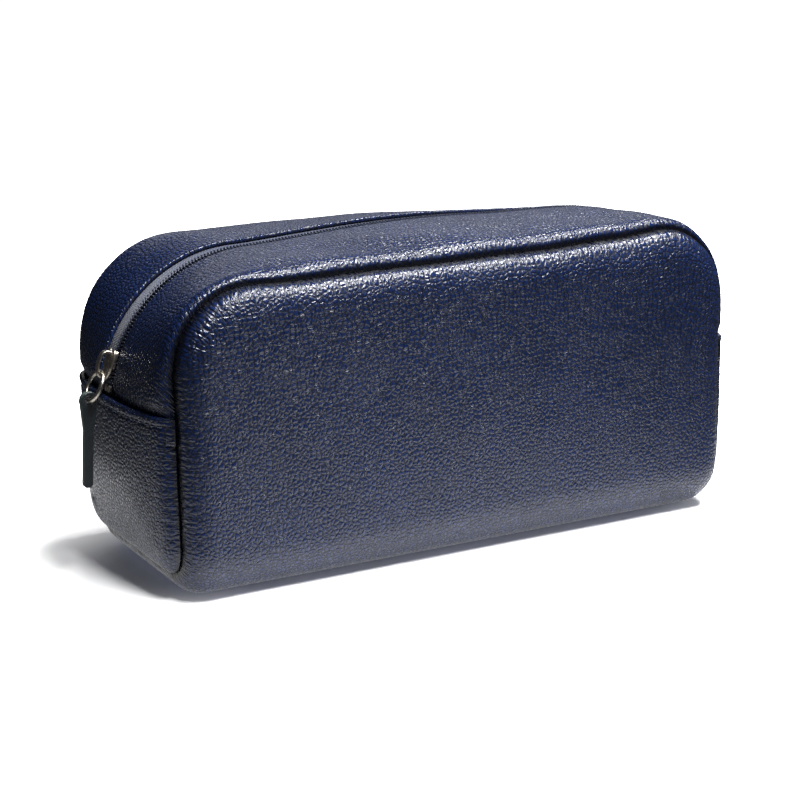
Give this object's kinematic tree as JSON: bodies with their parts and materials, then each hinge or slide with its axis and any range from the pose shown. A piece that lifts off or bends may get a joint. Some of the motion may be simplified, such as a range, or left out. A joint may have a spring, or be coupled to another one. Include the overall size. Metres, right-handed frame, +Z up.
{
  "type": "shaving kit bag",
  "caption": "Padded leather wash bag with a zip running over the top and down both ends, and a ring pull with a leather tab.",
  "frame": {"origin": "middle of the bag's footprint on the surface that it stands on, halfway between its two ends", "axes": "+X along the bag, away from the end where the closed zip's slider parks; +Y to the back; +Z up"},
  "size_m": [0.2777, 0.108, 0.1295],
  "materials": {
    "leather": "navy pebble-grain leather, semi-gloss finish",
    "lining": "dark woven polyester lining",
    "board": "stiff base board, sealed inside",
    "tape": "woven zip tape",
    "teeth": "dark nylon coil",
    "nickel": "polished warm nickel",
    "tab": "green-black leather with painted edges"
  },
  "bodies": {
    "bag": {"body_wrap": "leather", "base_board": "board", "lining_tub": "lining", "end_panel_left": "leather", "end_panel_right": "leather", "zip_tail_left": "tape", "zip_tail_right": "tape", "top_stop_front": "nickel", "top_stop_rear": "nickel", "bottom_stop": "nickel"},
    "mouth_front": {"front_panel_upper": "leather", "front_band": "leather", "front_tape": "tape", "front_teeth": "teeth", "front_lining": "lining"},
    "mouth_rear": {"rear_panel_upper": "leather", "rear_band": "leather", "rear_tape": "tape", "rear_teeth": "teeth", "rear_lining": "lining"},
    "slider": {"slider_body": "nickel"},
    "ring": {"pull_ring": "nickel"},
    "tab": {"pull_tab": "tab"}
  },
  "joints": [
    {"name": "mouth_front", "type": "hinge", "parent": "bag", "child": "mouth_front", "pos_m": [0, -0.054, 0.075], "axis": [-1, 0, 0], "range_deg": [-30, 0]},
    {"name": "mouth_rear", "type": "hinge", "parent": "bag", "child": "mouth_rear", "pos_m": [0, 0.054, 0.075], "axis": [1, 0, 0], "range_deg": [-30, 0]},
    {"name": "zip_travel", "type": "hinge", "parent": "bag", "child": "slider", "pos_m": [-0.073, 0, 0.066], "axis": [0, 1, 0], "range_deg": [0, 71]},
    {"name": "ring_swing", "type": "hinge", "parent": "slider", "child": "ring", "pos_m": [-0.1337, 0, 0.08251], "axis": [0, 1, 0], "range_deg": [0, 75]},
    {"name": "tab_swing", "type": "hinge", "parent": "ring", "child": "tab", "pos_m": [-0.13933, 0, 0.07192], "axis": [0, 1, 0], "range_deg": [-4, 45]}
  ],
  "couplings": [
    {"joint": "mouth_rear", "follows": "mouth_front", "ratio": 1}
  ]
}
